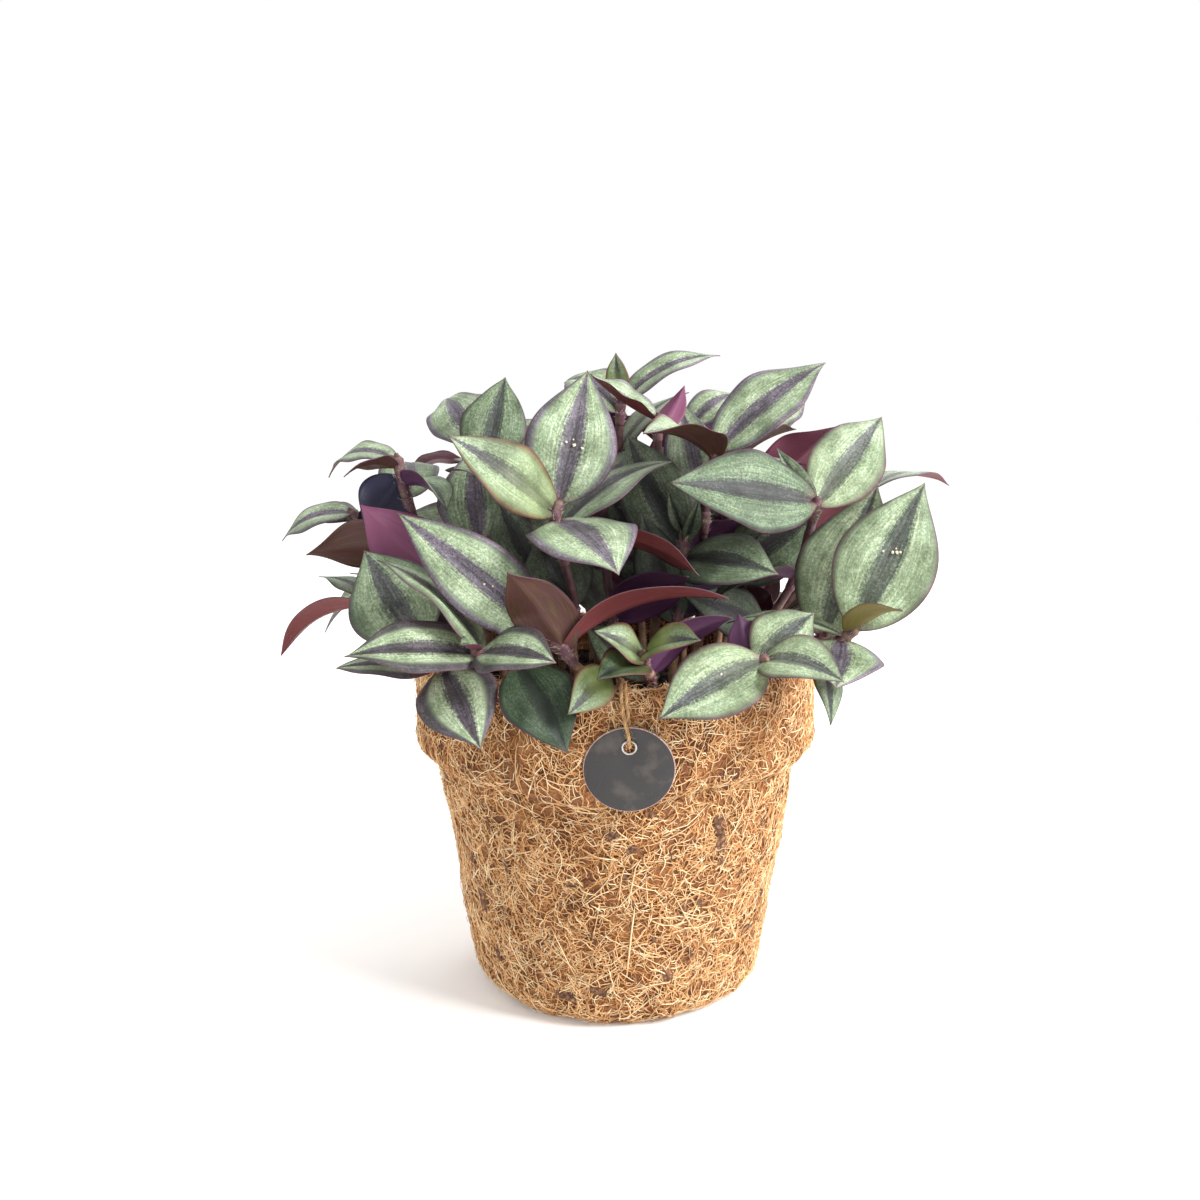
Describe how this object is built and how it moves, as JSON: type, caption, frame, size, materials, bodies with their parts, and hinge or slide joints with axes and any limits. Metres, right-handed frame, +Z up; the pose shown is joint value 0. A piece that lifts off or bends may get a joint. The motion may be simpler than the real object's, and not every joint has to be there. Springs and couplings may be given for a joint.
{
  "type": "potted tradescantia",
  "caption": "Leafy tradescantia with silver and purple striped leaves, in a round collared coir fibre pot with a blank tag on twine.",
  "frame": {"origin": "middle of the pot's flat base, on the surface that it stands on", "axes": "+Z up along the pot's axis, -Y towards the front where the tag hangs, +X to the right seen from the front"},
  "size_m": [0.2515, 0.1987, 0.237],
  "materials": {
    "coir": "matted coconut fibre, straw to dark brown, dry and matte",
    "soil": "dark moist potting soil, crumbly",
    "jute": "twisted jute twine, slightly hairy",
    "tag_card": "dark grey tag, bare face with faint smudges, thin coppery edge",
    "eyelet_metal": "rolled bright eyelet",
    "leaf": "fleshy leaf, satin, silver green stripes on purple, maroon underside"
  },
  "bodies": {
    "root": {"coir_pot": "coir", "soil": "soil", "twine": "jute", "tag": "tag_card", "eyelet": "eyelet_metal", "stem_01": "leaf", "stem_02": "leaf", "stem_03": "leaf", "stem_04": "leaf", "stem_05": "leaf", "stem_06": "leaf", "stem_07": "leaf", "stem_08": "leaf", "stem_09": "leaf", "stem_10": "leaf", "stem_11": "leaf", "stem_12": "leaf", "stem_13": "leaf", "stem_14": "leaf", "stem_15": "leaf", "stem_16": "leaf", "stem_17": "leaf", "stem_18": "leaf", "stem_19": "leaf", "stem_20": "leaf", "stem_21": "leaf", "stem_22": "leaf", "stem_23": "leaf", "stem_24": "leaf", "stem_25": "leaf", "stem_26": "leaf", "stem_27": "leaf", "stem_28": "leaf", "stem_29": "leaf", "stem_30": "leaf", "stem_31": "leaf", "stem_32": "leaf", "stem_33": "leaf", "stem_34": "leaf", "stem_35": "leaf", "stem_36": "leaf", "stem_37": "leaf", "stem_38": "leaf", "stem_39": "leaf", "stem_40": "leaf", "stem_41": "leaf", "stem_42": "leaf", "stem_43": "leaf", "stem_44": "leaf", "stem_45": "leaf", "stem_46": "leaf", "stem_47": "leaf", "stem_48": "leaf", "stem_49": "leaf", "stem_50": "leaf"}
  },
  "joints": []
}
